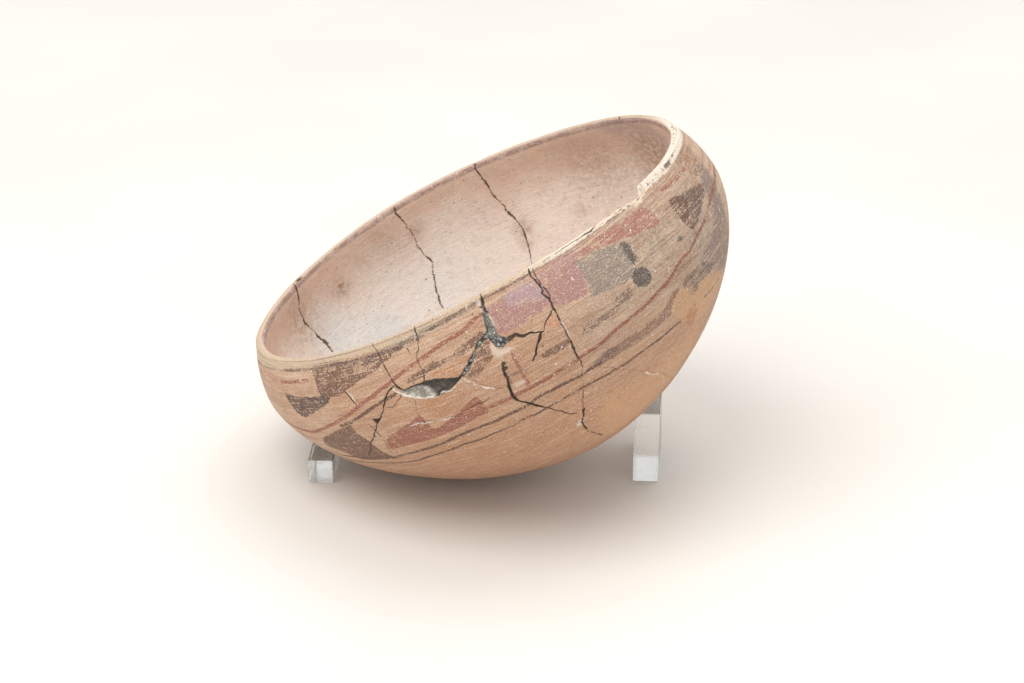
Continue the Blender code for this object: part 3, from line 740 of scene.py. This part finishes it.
def spots(tracer, places, table, skin):
    """How strongly each place lies in one of the soft round areas of a table."""
    total = np.zeros(len(places))
    for x, y, reach, strength in table:
        azimuth, run = tracer.read((x, y), skin)
        middle = to_world(form(np.array([azimuth]), np.array([run])))[0]
        away = np.linalg.norm(places - middle, axis=1) * 1000
        total = np.maximum(total, strength * np.exp(-(away / reach) ** 2))
    return total


def store(mesh, name, values):
    kind, field = ("FLOAT_VECTOR", "vector") if np.ndim(values) == 2 else ("FLOAT", "value")
    layer = mesh.attributes.new(name, kind, "POINT")
    layer.data.foreach_set(field, np.ravel(values).astype(np.float32))


def split_for_detail(build, stored, tracer, cracks, strokes):
    """Finer faces along everything that is cut in or drawn sharply."""
    seen = [points for name, (points, *_) in cracks.items() if name not in HIDDEN_CRACKS]
    for outline, _ in [*LOSSES_PX.values(), *GAPS_PX.values()]:
        seen.append(tracer.read_all([*outline, outline[0]]))
    plain = [points for name, (points, *_) in cracks.items() if name in HIDDEN_CRACKS]
    split_near(build, stored, [line for line, _ in strokes.values()], STROKE_BAND_MM)
    for lines, bands in ((seen, FINE_BANDS_MM), (plain, PLAIN_BANDS_MM)):
        for band in bands:
            split_near(build, stored, lines, band)


def settle(build, stored, places):
    """The bmesh as a mesh with every vertex in its place, and the normals there."""
    for vert, place in zip(build.verts, places):
        vert.co = place
    mesh = bpy.data.meshes.new("bowl_visual")
    build.verts.layers.float.remove(stored)
    build.to_mesh(mesh)
    build.free()
    normals = np.empty(len(mesh.vertices) * 3)
    mesh.vertex_normals.foreach_get("vector", normals)
    return mesh, normals.reshape(-1, 3)


def store_paint(mesh, chart, tracer, strokes):
    """How far each vertex is from every painted line and area."""
    for name, points in read_bands(tracer).items():
        away, drawn = chart.band(points)
        store(mesh, "band_" + name, np.stack([away, drawn, np.zeros(len(away))], axis=1))
    for name, outline in PATCHES_PX.items():
        store(mesh, "patch_" + name, chart.outline(tracer.read_all(outline)))
    for name, outline in HIDDEN_PATCHES.items():
        store(mesh, "patch_" + name, chart.outline(np.array(outline, float)))
    for name, (points, half) in strokes.items():
        store(mesh, "stroke_" + name, half - chart.line(points)[0])


def store_tones(mesh, chart, tracer, places):
    """The soft areas of another tone, outside and inside, and the worn stretch of the lip."""
    outside = chart.run > 0
    turned = wrap(chart.azimuth)
    worn_lip = smooth(*WORN_STARTS, turned) * smooth(*WORN_ENDS, turned)
    grey, warm = [spots(tracer, places, table, "outer") * outside for table in (GREY_SPOTS, WARM_SPOTS)]
    store(mesh, "tones", np.stack([grey, warm, worn_lip], axis=1))
    tables = (INNER_STAINS, INNER_PALE, INNER_SMEARS)
    within = [spots(tracer, places, table, "inner") * (1 - outside) for table in tables]
    store(mesh, "inner_tones", np.stack(within, axis=1))


def make_bowl_mesh():
    """The bowl's skin with its cracks, losses and worn lip, and what the material reads at each vertex."""
    build, stored = base_grid()
    tracer = Tracer(build, stored)
    cracks = read_cracks(tracer)
    strokes = {name: (tracer.read_all(route), half) for name, (route, half) in STROKES_PX.items()}
    split_for_detail(build, stored, tracer, cracks, strokes)
    azimuth, run = chart_of(build, stored)
    chart = Chart(azimuth, run)
    places = to_world(form(azimuth, run))
    mesh, normals = settle(build, stored, places)

    sunk, pale, dust, plaster, filled = make_fields(chart, cracks, tracer, places)
    shape = layered(places, (0.28, 0.030, 21), (0.12, 0.011, 22))
    lip_wear = (0.25 + 0.75 * (noise(places, 0.012, 23) > 0.1)) * np.exp(-(run / 2.2) ** 2)
    shape -= lip_wear * (0.22 * noise(places, 0.003, 24) + 0.1).clip(0)
    lowered, bare = drop_lip(azimuth, run, places)
    up = np.array(seat_matrix())[:3, 2]
    moved = places + normals * ((shape - sunk) / 1000)[:, None] - up * (lowered / 1000)[:, None]
    mesh.vertices.foreach_set("co", moved.ravel())

    angle = np.radians(azimuth)
    around = profile_at(run)[0]
    store(mesh, "sweep", np.stack([around * np.cos(angle), around * np.sin(angle), run / 1000], axis=1))
    store(mesh, "skin", run)
    store(mesh, "below_lip", chart.band(np.array(LIP_EDGE, float))[0])
    store(mesh, "sunk", sunk)
    store(mesh, "edges", np.stack([pale, dust, plaster], axis=1))
    store(mesh, "bare", bare)
    store(mesh, "filled", filled)
    store_paint(mesh, chart, tracer, strokes)
    store_tones(mesh, chart, tracer, places)
    mesh.update()
    mesh.shade_smooth()
    return mesh


# Materials

def srgb(*levels):
    """A colour given as it looks, 0 to 255, as linear light."""
    shares = [level / 255 for level in levels]
    return tuple(s / 12.92 if s <= 0.04045 else ((s + 0.055) / 1.055) ** 2.4 for s in shares) + (1.0,)


class Tree:
    """Short ways to lay nodes in a material."""

    def __init__(self, name):
        self.material = bpy.data.materials.new(name)
        self.material.use_nodes = True
        self.nodes = self.material.node_tree.nodes
        self.links = self.material.node_tree.links
        self.shader = self.nodes["Principled BSDF"]
        self.place = self.new("ShaderNodeTexCoord").outputs["Object"]

    def new(self, kind, **settings):
        node = self.nodes.new(kind)
        for key, value in settings.items():
            setattr(node, key, value)
        return node

    def feed(self, socket, value):
        if isinstance(value, bpy.types.NodeSocket):
            self.links.new(value, socket)
        else:
            socket.default_value = value

    def math(self, operation, *values):
        node = self.new("ShaderNodeMath", operation=operation)
        for socket, value in zip(node.inputs, values):
            self.feed(socket, value)
        return node.outputs[0]

    def number(self, name):
        return self.new("ShaderNodeAttribute", attribute_name=name).outputs["Fac"]

    def vector(self, name):
        return self.new("ShaderNodeAttribute", attribute_name=name).outputs["Vector"]

    def split(self, vector):
        node = self.new("ShaderNodeSeparateXYZ")
        self.feed(node.inputs[0], vector)
        return node.outputs

    def stretch(self, vector, scale):
        node = self.new("ShaderNodeVectorMath", operation="MULTIPLY")
        self.feed(node.inputs[0], vector)
        node.inputs[1].default_value = scale
        return node.outputs[0]

    def noise(self, vector, scale, detail=3.0, rough=0.55, shift=0.0):
        node = self.new("ShaderNodeTexNoise", noise_dimensions="4D" if shift else "3D")
        self.feed(node.inputs["Vector"], vector)
        if shift:
            node.inputs["W"].default_value = shift
        node.inputs["Scale"].default_value = scale
        node.inputs["Detail"].default_value = detail
        node.inputs["Roughness"].default_value = rough
        return node.outputs["Fac"]

    def ramp(self, value, low, high, to_low=0.0, to_high=1.0):
        node = self.new("ShaderNodeMapRange", interpolation_type="SMOOTHSTEP")
        self.feed(node.inputs["Value"], value)
        for socket, level in zip(node.inputs[1:5], (low, high, to_low, to_high)):
            self.feed(socket, level)
        return node.outputs["Result"]

    def times(self, first, *others):
        for other in others:
            first = self.math("MULTIPLY", first, other)
        return first

    def lay(self, under, over, *shares):
        """Mix one colour over another by the product of the shares."""
        node = self.new("ShaderNodeMix", data_type="RGBA")
        self.feed(node.inputs["Factor"], self.times(*shares))
        self.feed(node.inputs[6], under)
        self.feed(node.inputs[7], over)
        return node.outputs[2]

    def bump(self, height, depth, below=None):
        node = self.new("ShaderNodeBump")
        node.inputs["Distance"].default_value = depth
        self.feed(node.inputs["Height"], height)
        if below is not None:
            self.feed(node.inputs["Normal"], below)
        return node.outputs["Normal"]


# Colours as they look in the photograph
BUFF = srgb(195, 157, 128)
BUFF_LIGHT = srgb(218, 188, 162)
BUFF_DEEP = srgb(172, 130, 100)
BUFF_DARK = srgb(142, 104, 80)
ORANGE = srgb(184, 132, 95)
# clay orange, also used for the painted reflected light low on the right
CLEAR_ORANGE_AND_REFLECTED_LIGHT = srgb(208, 160, 118)
CHIP_ORANGE = srgb(200, 144, 110)
STREAK_ORANGE = srgb(180, 122, 82)
GREY_TAN = srgb(168, 150, 130)
PALE_GREY = srgb(200, 186, 166)
DARK_GREY = srgb(112, 98, 90)
MAUVE_GREY = srgb(134, 112, 104)
RED = srgb(148, 82, 62)
RED_DEEP = srgb(142, 74, 54)
PURPLE_RED = srgb(169, 124, 120)
LAVENDER = srgb(180, 156, 164)
ROSE_RED = srgb(166, 107, 95)
BROWN = srgb(98, 64, 46)
WARM_BROWN = srgb(132, 96, 76)
PURPLE_BROWN = srgb(108, 84, 76)
BLACK_BROWN = srgb(80, 58, 48)
SMOKE = srgb(138, 128, 118)
SOOT = srgb(84, 76, 72)
LIP_CREAM = srgb(206, 182, 154)
LIP_PALE = srgb(242, 230, 214)
CRACK_BROWN = srgb(88, 66, 50)
INNER_CRACK = srgb(88, 66, 46)
DIRT = srgb(50, 48, 46)
BLUE_DIRT = srgb(150, 158, 160)
GREEN_DIRT = srgb(128, 128, 116)
BROKEN = srgb(226, 206, 182)
CHALK = srgb(234, 229, 222)
PLASTER = srgb(220, 202, 186)
DUST = srgb(176, 166, 158)
INNER_TAN = srgb(222, 190, 170)
INNER_DEEP = srgb(186, 150, 128)
INNER_MID = srgb(234, 216, 202)
INNER_WHITE = srgb(208, 208, 206)
INNER_STAIN = srgb(146, 110, 82)
INNER_BAND = srgb(138, 110, 104)
INNER_SMEAR = srgb(176, 158, 156)

# How each painted area looks: colour, share of it left, softness of its edge in millimetres, strength
PATCH_LOOKS = {
    "orange_clear": (CLEAR_ORANGE_AND_REFLECTED_LIGHT, 0.95, 2.4, 0.75),
    "orange_mid": (STREAK_ORANGE, 0.7, 1.2, 0.6),
    # painted reflected light low on the right, laid like a paint with a wide soft edge
    "painted_reflected_light_low": (CLEAR_ORANGE_AND_REFLECTED_LIGHT, 0.95, 9.0, 0.6),
    "orange_streak": (STREAK_ORANGE, 0.8, 1.2, 0.7),
    "mottle_top": (WARM_BROWN, 0.5, 3.0, 0.65),
    "dark_edge": (MAUVE_GREY, 0.68, 4.5, 0.9),
    "fur": (PURPLE_BROWN, 0.66, 1.2, 0.75),
    "wide_brown": (WARM_BROWN, 0.72, 1.0, 0.75),
    "wide_dark": (PURPLE_BROWN, 0.85, 1.0, 0.7),
    "grey_strip": (SMOKE, 0.72, 1.2, 0.75),
    "smoky_right": (BROWN, 0.66, 1.2, 0.75),
    "brown_smudge": (BROWN, 0.68, 1.2, 0.75),
    "brown_left": (BROWN, 0.74, 0.8, 0.85),
    "brown_low_left": (BLACK_BROWN, 0.88, 0.9, 0.95),
    "brown_base": (BROWN, 0.9, 0.9, 0.85),
    "smoky_middle": (BROWN, 0.66, 1.3, 0.8),
    "red_step": (RED, 0.86, 0.6, 0.85),
    "red_main": (PURPLE_RED, 0.8, 0.7, 0.9),
    "lavender": (LAVENDER, 0.85, 2.4, 0.6),
    "red_wedge": (ROSE_RED, 0.76, 0.7, 0.9),
    "orange_chip": (CHIP_ORANGE, 0.85, 0.6, 0.7),
    "purple_strip": (PURPLE_BROWN, 0.6, 0.8, 0.6),
    "grey_cross": (PURPLE_BROWN, 0.6, 0.8, 0.6),
    "grey_main": (SMOKE, 0.76, 1.4, 0.8),
    "stain_streak": (SOOT, 0.8, 1.2, 0.9),
    "stain_round": (SOOT, 0.95, 1.0, 0.9),
    "dark_right_end": (BROWN, 0.68, 0.9, 0.88),
    "dark_right_side": (PURPLE_BROWN, 0.8, 1.6, 0.6),
    "dark_dot": (SOOT, 0.9, 0.8, 0.8),
    "dark_lower_right": (PURPLE_BROWN, 0.6, 1.3, 0.75),
    "brown_back_right": (BROWN, 0.72, 0.8, 0.85),
    "red_back": (PURPLE_RED, 0.8, 0.8, 0.9),
    "brown_back": (BROWN, 0.72, 0.8, 0.85),
    "red_back_low": (RED, 0.8, 0.7, 0.85),
    "brown_low_back": (BROWN, 0.68, 0.9, 0.8),
}
# How each painted line looks: colour, share of it left, strength
LINE_SOFT_MM = 0.5
BAND_LOOKS = {
    "red_upper": (RED, 0.88, 0.88), "red_lower": (RED_DEEP, 0.82, 0.85), "rim_line": (BLACK_BROWN, 0.64, 0.8),
    "dark_upper": (BROWN, 0.9, 0.95), "dark_mid": (BROWN, 0.88, 0.95), "dark_low": (BROWN, 0.88, 0.95),
}
STROKE_LOOKS = {
    "red_short": (RED, 0.85, 0.85), "red_right": (RED, 0.78, 0.85), "red_upright": (RED, 0.75, 0.75),
    "brown_slant": (BROWN, 0.8, 0.8), "edge_line": (BROWN, 0.8, 0.75), "faint_rim": (SMOKE, 0.7, 0.7),
}


def painted(tree, colour, inside, look, soft, wear, edge):
    """Lay a paint over a colour, where inside is above 0 in millimetres, and let the wear take some off."""
    paint, left, strength = look
    ragged = tree.math("MULTIPLY_ADD", edge, soft, inside)
    area = tree.ramp(ragged, soft * 0.2, soft * 0.8)
    rest = tree.ramp(wear, left - 0.25, left + 0.2, strength, strength * 0.18)
    return tree.lay(colour, paint, area, rest)


def crack_colours(tree, colour, edge, mottle):
    """Dark joints, and the blue-grey rubble that fills the wide ones."""
    sunk = tree.number("sunk")
    thin = tree.lay(INNER_CRACK, CRACK_BROWN, tree.ramp(tree.number("skin"), -1.0, 0.0))
    deep = tree.lay(DIRT, GREEN_DIRT, tree.ramp(edge, 0.35, 0.9), 0.35)
    dirt = tree.lay(thin, deep, tree.ramp(sunk, 0.45, 0.9))
    colour = tree.lay(colour, dirt, tree.ramp(sunk, 0.1, 0.4, 0.0, 0.95))
    lumps = tree.noise(tree.place, 900.0, 3.0, 0.65, 12.3)
    rubble = tree.lay(DIRT, BLUE_DIRT, tree.ramp(lumps, 0.46, 0.54))
    rubble = tree.lay(rubble, GREEN_DIRT, tree.ramp(mottle, 0.3, 0.8), 0.6)
    rubble = tree.lay(rubble, CHALK, tree.ramp(lumps, 0.6, 0.66, 0.0, 0.8))
    return tree.lay(colour, rubble, tree.number("filled"))


def outer_colours(tree, sweep, run, noises):
    """Buff clay, burnished along the turn, with its paint, a painted reflected light low on the right, and
    its worn lip.
    """
    fine_sweep, wide_sweep, cloud, mottle, blotch, scratch, wear, edge = noises
    grey_share, warm_share, worn_lip = tree.split(tree.vector("tones"))
    outer = tree.lay(BUFF, BUFF_LIGHT, cloud)
    outer = tree.lay(outer, BUFF_DEEP, wide_sweep, 0.7)
    outer = tree.lay(outer, ORANGE, tree.ramp(run, 40.0, 90.0, 0.0, 0.75))
    grey = tree.lay(GREY_TAN, MAUVE_GREY, wide_sweep)
    grey = tree.lay(grey, PALE_GREY, blotch, 0.7)
    grey = tree.lay(grey, DARK_GREY, tree.ramp(scratch, 0.54, 0.64, 0.0, 0.7))
    outer = tree.lay(outer, grey, grey_share)
    outer = tree.lay(outer, ORANGE, warm_share)
    outer = tree.lay(outer, BUFF_DEEP, mottle, 0.35)
    outer = tree.lay(outer, BUFF_DARK, tree.ramp(scratch, 0.56, 0.7, 0.0, 0.45))
    outer = tree.lay(outer, BUFF_LIGHT, tree.ramp(fine_sweep, 0.45, 1.0, 0.0, 0.5))
    # paint and discoloured areas, and the painted reflected light low on the right
    for name, (paint, left, soft, strength) in PATCH_LOOKS.items():
        outer = painted(tree, outer, tree.number("patch_" + name), (paint, left, strength), soft, wear, edge)
    for name, look in BAND_LOOKS.items():
        away, drawn, _ = tree.split(tree.vector("band_" + name))
        inside = tree.math("SUBTRACT", BANDS_PX[name][1], tree.math("ABSOLUTE", away))
        inside = tree.math("SUBTRACT", inside, tree.ramp(drawn, 0.0, 1.0, 4.0, 0.0))
        outer = painted(tree, outer, inside, look, LINE_SOFT_MM, wear, edge)
    for name, look in STROKE_LOOKS.items():
        outer = painted(tree, outer, tree.number("stroke_" + name), look, LINE_SOFT_MM, wear, edge)
    lip = tree.ramp(tree.math("MULTIPLY_ADD", edge, 1.2, tree.number("below_lip")), 0.9, -0.4)
    outer = tree.lay(outer, tree.lay(LIP_CREAM, LIP_PALE, worn_lip), lip, 0.92)
    streak = tree.noise(tree.stretch(sweep, (9, 9, 1100)), 1.0, 2.0, 0.6, 6.6)
    by_lip = tree.times(tree.ramp(run, 9.0, 5.0), tree.ramp(run, 0.5, 1.2))
    outer = tree.lay(outer, MAUVE_GREY, by_lip, tree.ramp(streak, 0.54, 0.64, 0.0, 0.7))
    outer = tree.lay(outer, LIP_CREAM, by_lip, tree.ramp(streak, 0.46, 0.36, 0.0, 0.7))
    marks = tree.times(tree.ramp(blotch, 0.55, 0.95), tree.ramp(scratch, 0.5, 0.56))
    return tree.lay(outer, DARK_GREY, marks, lip, worn_lip, 0.85)


def inner_colours(tree, run, cloud, mottle, blotch, wear):
    """Smoother and paler inside, whitish where it is lowest, with stains and a dark line along the lip."""
    stain, pale, smear = tree.split(tree.vector("inner_tones"))
    worn_lip = tree.split(tree.vector("tones"))[2]
    high = tree.ramp(tree.math("MULTIPLY_ADD", cloud, 16.0, run), -34.0, 0.0)
    inner = tree.lay(INNER_MID, INNER_TAN, high)
    inner = tree.lay(inner, INNER_DEEP, tree.ramp(run, -60.0, -8.0), cloud, 0.3)
    inner = tree.lay(inner, INNER_WHITE, mottle, 0.25)
    inner = tree.lay(inner, INNER_WHITE, pale)
    inner = tree.lay(inner, INNER_DEEP, tree.ramp(mottle, 0.5, 1.0), tree.ramp(blotch, 0.3, 1.0, 0.0, 0.3))
    inner = tree.lay(inner, INNER_STAIN, stain, tree.ramp(blotch, 0.0, 0.8, 0.45, 1.0))
    inner = tree.lay(inner, INNER_SMEAR, smear, tree.ramp(mottle, 0.0, 0.7, 0.5, 1.0))
    band = tree.times(tree.ramp(run, -6.0, -4.2), tree.ramp(run, -1.2, -2.4))
    inner = tree.lay(inner, INNER_BAND, band, tree.ramp(wear, 1.0, 0.25, 0.25, 0.8))
    return tree.lay(inner, tree.lay(LIP_CREAM, LIP_PALE, worn_lip), tree.ramp(run, -1.8, -0.5))


def clay_material():
    tree = Tree("bowl_clay")
    sweep = tree.vector("sweep")
    run = tree.number("skin")
    pale, dust, plaster = tree.split(tree.vector("edges"))
    fine_sweep = tree.ramp(tree.noise(tree.stretch(sweep, (70, 70, 1300)), 1.0, 3.0, 0.6), 0.32, 0.68)
    wide_sweep = tree.ramp(tree.noise(tree.stretch(sweep, (14, 14, 260)), 1.0, 3.0, 0.6, 3.1), 0.34, 0.66)
    scratch = tree.noise(tree.stretch(sweep, (24, 24, 700)), 1.0, 3.0, 0.65, 5.9)
    cloud = tree.ramp(tree.noise(tree.place, 26.0, 4.0, 0.6, 1.7), 0.36, 0.64)
    mottle = tree.ramp(tree.noise(tree.place, 190.0, 3.0, 0.6, 5.2), 0.34, 0.66)
    blotch = tree.ramp(tree.noise(tree.place, 380.0, 3.0, 0.6, 8.8), 0.36, 0.64)
    grain = tree.ramp(tree.noise(tree.place, 1700.0, 2.0, 0.6, 9.4), 0.32, 0.68)
    edge = tree.ramp(tree.noise(tree.place, 600.0, 3.0, 0.7, 2.2), 0.3, 0.7)
    specks = tree.noise(tree.place, 620.0, 1.0, 0.5, 7.7)
    pits = tree.noise(tree.place, 480.0, 1.0, 0.5, 4.4)
    wear = tree.times(grain, 0.26)
    for part, share in ((blotch, 0.22), (mottle, 0.2), (fine_sweep, 0.32)):
        wear = tree.math("MULTIPLY_ADD", part, share, wear)
    wear = tree.ramp(wear, 0.15, 0.85)
    noises = (fine_sweep, wide_sweep, cloud, mottle, blotch, scratch, wear, edge)

    outside = tree.ramp(run, -0.8, 0.0)
    inner = inner_colours(tree, run, cloud, mottle, blotch, wear)
    colour = tree.lay(inner, outer_colours(tree, sweep, run, noises), outside)
    rub = tree.ramp(outside, 0.0, 1.0, 0.1, 0.26)
    colour = tree.lay(colour, BROWN, tree.ramp(grain, 0.45, 0.0), rub)
    colour = tree.lay(colour, CHALK, tree.ramp(grain, 0.6, 1.0), rub)
    colour = tree.lay(colour, BROKEN, tree.number("bare"), tree.ramp(edge, 0.2, 0.8, 0.9, 0.5))
    colour = crack_colours(tree, colour, edge, mottle)
    dusty = tree.lay(DUST, GREEN_DIRT, tree.ramp(edge, 0.1, 0.7))
    dusty = tree.lay(dusty, CHALK, tree.ramp(mottle, 0.6, 1.0, 0.0, 0.6))
    colour = tree.lay(colour, dusty, dust, 0.9)
    colour = tree.lay(colour, PLASTER, plaster, tree.ramp(edge, 0.0, 0.9, 0.95, 0.6))
    colour = tree.lay(colour, CHALK, pale, tree.ramp(mottle, 0.0, 0.6, 0.5, 0.95))
    colour = tree.lay(colour, CHALK, tree.ramp(specks, 0.71, 0.74, 0.0, 0.85))
    colour = tree.lay(colour, CRACK_BROWN, tree.ramp(pits, 0.28, 0.24, 0.0, 0.7))
    tree.feed(tree.shader.inputs["Base Color"], colour)
    tree.feed(tree.shader.inputs["Roughness"], tree.ramp(fine_sweep, 0.0, 1.0, 0.62, 0.82))
    normal = tree.bump(grain, 0.00008)
    normal = tree.bump(fine_sweep, 0.00014, below=normal)
    normal = tree.bump(mottle, 0.0003, below=normal)
    tree.feed(tree.shader.inputs["Normal"], normal)
    return tree.material


def acrylic_material():
    tree = Tree("cast_acrylic")
    tree.shader.inputs["Base Color"].default_value = (0.97, 0.985, 0.975, 1.0)
    tree.shader.inputs["Transmission Weight"].default_value = 1.0
    tree.shader.inputs["IOR"].default_value = 1.49
    scuff = tree.noise(tree.place, 160.0, 4.0, 0.6)
    tree.feed(tree.shader.inputs["Roughness"], tree.ramp(scuff, 0.4, 0.7, 0.12, 0.3))
    tree.feed(tree.shader.inputs["Normal"], tree.bump(scuff, 0.00008))
    return tree.material


def floor_material():
    tree = Tree("pale_floor")
    soft = tree.noise(tree.place, 3.0, 2.0)
    colour = tree.lay(srgb(232, 228, 222), srgb(238, 235, 230), tree.ramp(soft, 0.3, 0.7))
    tree.feed(tree.shader.inputs["Base Color"], colour)
    tree.feed(tree.shader.inputs["Roughness"], 0.6)
    return tree.material


def add_object(name, data):
    obj = bpy.data.objects.new(name, data)
    bpy.context.scene.collection.objects.link(obj)
    return obj


def make_bowl():
    bowl = add_object("bowl_visual", make_bowl_mesh())
    bowl.data.materials.append(clay_material())
    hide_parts("bowl")
    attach(bowl, "root")


def dress_supports():
    material = acrylic_material()
    for name in ("left_support", "right_support"):
        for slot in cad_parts[name].material_slots:
            slot.material = material


def make_floor():
    mesh = bpy.data.meshes.new("floor")
    half, level = 6.0, -0.0002
    corners = [(-half, -half, level), (half, -half, level), (half, half, level), (-half, half, level)]
    mesh.from_pydata(corners, [], [(0, 1, 2, 3)])
    mesh.materials.append(floor_material())
    add_object("floor", mesh)


def add_light(name, place, target, width, power, colour=(1, 1, 1)):
    light = bpy.data.lights.new(name, "AREA")
    light.shape = "DISK"
    light.size = width
    light.energy = power
    light.color = colour
    obj = add_object(name, light)
    obj.location = place
    obj.rotation_euler = (Vector(target) - Vector(place)).to_track_quat("-Z", "Y").to_euler()


def light_scene():
    scene = bpy.context.scene
    world = bpy.data.worlds.new("studio")
    world.use_nodes = True
    background = world.node_tree.nodes["Background"]
    background.inputs["Color"].default_value = (1.0, 0.99, 0.975, 1.0)
    background.inputs["Strength"].default_value = 0.75
    scene.world = world
    add_light("key", (-0.7, -0.9, 1.9), (0, 0, 0.08), 1.6, 26, (1.0, 0.98, 0.95))
    add_light("top", (0.5, 0.6, 2.2), (0, 0, 0.08), 1.8, 16)
    scene.view_settings.view_transform = "Standard"


def add_camera():
    data = bpy.data.cameras.new("camera")
    data.sensor_width = SENSOR_WIDTH_MM
    data.lens = FOCAL_PX * SENSOR_WIDTH_MM / IMAGE_WIDTH
    camera = add_object("camera", data)
    camera.location = CAMERA_PLACE
    camera.rotation_euler = (math.radians(90) - CAMERA_DOWN, 0, CAMERA_LEFT)
    bpy.context.scene.camera = camera


add_camera()
make_bowl()
dress_supports()
make_floor()
light_scene()
